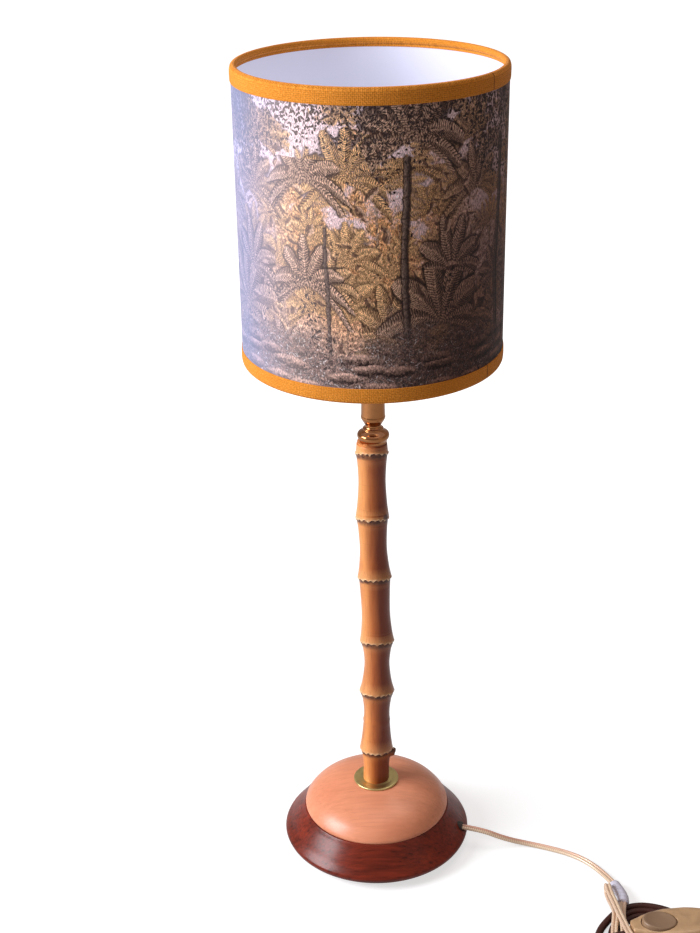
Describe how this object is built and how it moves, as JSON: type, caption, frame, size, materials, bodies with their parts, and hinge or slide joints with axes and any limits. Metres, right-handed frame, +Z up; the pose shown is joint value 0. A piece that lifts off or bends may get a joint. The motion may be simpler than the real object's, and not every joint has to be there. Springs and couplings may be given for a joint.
{
  "type": "table lamp",
  "caption": "Table lamp: drum shade on a cane stem and a turned two-tier wooden base, brass fittings, twin flex with an in-line rocker switch and a flat plug.",
  "frame": {"origin": "centre of the base's underside, on the floor", "axes": "+Z up along the lamp's axis, -Y towards the front, the flex leaves the base towards +X"},
  "size_m": [0.4537, 0.3253, 0.68],
  "materials": {
    "felt": "woven wool felt",
    "mahogany": "gloss varnish",
    "terracotta_wood": "satin varnish",
    "dark_plastic": "matt",
    "zinc_steel": "zinc plated",
    "brass_aged": "slightly aged",
    "brass_polished": "polished",
    "bamboo": "gloss varnish",
    "ceramic_white": "unglazed",
    "core_insulation": "matt",
    "white_wire": "white enamel",
    "printed_fabric": "fine weave with a printed pattern",
    "lining_white": "satin",
    "mustard_trim": "coarse weave",
    "frosted_glass": "frosted",
    "cap_aluminium": "bright",
    "black_glass": "gloss",
    "solder": "dull",
    "gold_flex": "satin",
    "tie_wrap": "satin, spirally wound",
    "switch_gold": "satin",
    "rocker_brown": "satin",
    "white_plastic": "matt",
    "spring_steel": "drawn wire",
    "contact_brass": "plain",
    "brown_lead": "satin",
    "plug_brown": "satin",
    "nickel_pin": "nickel plated",
    "sleeve_black": "matt"
  },
  "bodies": {
    "lamp": {"base_felt": "felt", "base_ring": "mahogany", "base_dome": "terracotta_wood", "cord_bush": "dark_plastic", "threaded_tube": "zinc_steel", "base_lock_washer": "zinc_steel", "base_nut": "zinc_steel", "seating_washer": "brass_aged", "bamboo_stem": "bamboo", "stem_cap": "brass_polished", "neck_cup": "brass_polished", "holder_cap": "brass_polished", "holder_shell": "brass_polished", "holder_insulator": "ceramic_white", "holder_screw_shell": "brass_polished", "holder_centre_contact": "brass_polished", "holder_terminals": "brass_polished", "holder_terminal_screws": "zinc_steel", "flex_cores": "core_insulation", "shade_ring_lower": "brass_polished", "shade_ring_upper": "brass_polished", "shade_frame_lower": "white_wire", "shade_frame_upper": "white_wire", "shade_cover": "printed_fabric", "shade_lining": "lining_white", "shade_trim_top": "mustard_trim", "shade_trim_bottom": "mustard_trim", "flex_inside": "gold_flex", "flex_run": "gold_flex", "flex_tie": "tie_wrap", "flex_hank": "gold_flex", "flex_tail": "gold_flex", "switch_lower_shell": "switch_gold", "switch_upper_shell": "switch_gold", "switch_contacts": "contact_brass", "switch_through_bar": "contact_brass", "switch_terminal_screws": "zinc_steel", "switch_cores": "core_insulation", "switch_cord_grips": "white_plastic", "switch_grip_screws": "zinc_steel", "switch_case_screws": "zinc_steel", "lead_run": "brown_lead", "lead_coil": "brown_lead", "lead_tail": "brown_lead", "plug_body": "plug_brown", "plug_pins": "nickel_pin", "plug_sleeves": "sleeve_black"},
    "bulb": {"bulb_glass": "frosted_glass", "bulb_cap": "cap_aluminium", "bulb_insulator": "black_glass", "bulb_contact": "solder"},
    "rocker": {"switch_rocker": "rocker_brown", "switch_plunger": "white_plastic", "switch_spring": "spring_steel"},
    "seesaw": {"switch_seesaw": "contact_brass"}
  },
  "joints": [
    {"name": "bulb_unscrew", "type": "slide", "parent": "lamp", "child": "bulb", "axis": [0, 0, 1], "range_m": [0, 0.017]},
    {"name": "switch_rock", "type": "hinge", "parent": "lamp", "child": "rocker", "pos_m": [0.22419, -0.14772, 0.0187], "axis": [0.1045, -0.9945, 0], "range_deg": [0, 14]},
    {"name": "switch_seesaw_tip", "type": "hinge", "parent": "lamp", "child": "seesaw", "pos_m": [0.22419, -0.14772, 0.0107], "axis": [0.1045, -0.9945, 0], "range_deg": [-14, 0]}
  ],
  "couplings": [
    {"joint": "switch_seesaw_tip", "follows": "switch_rock", "ratio": -1}
  ]
}
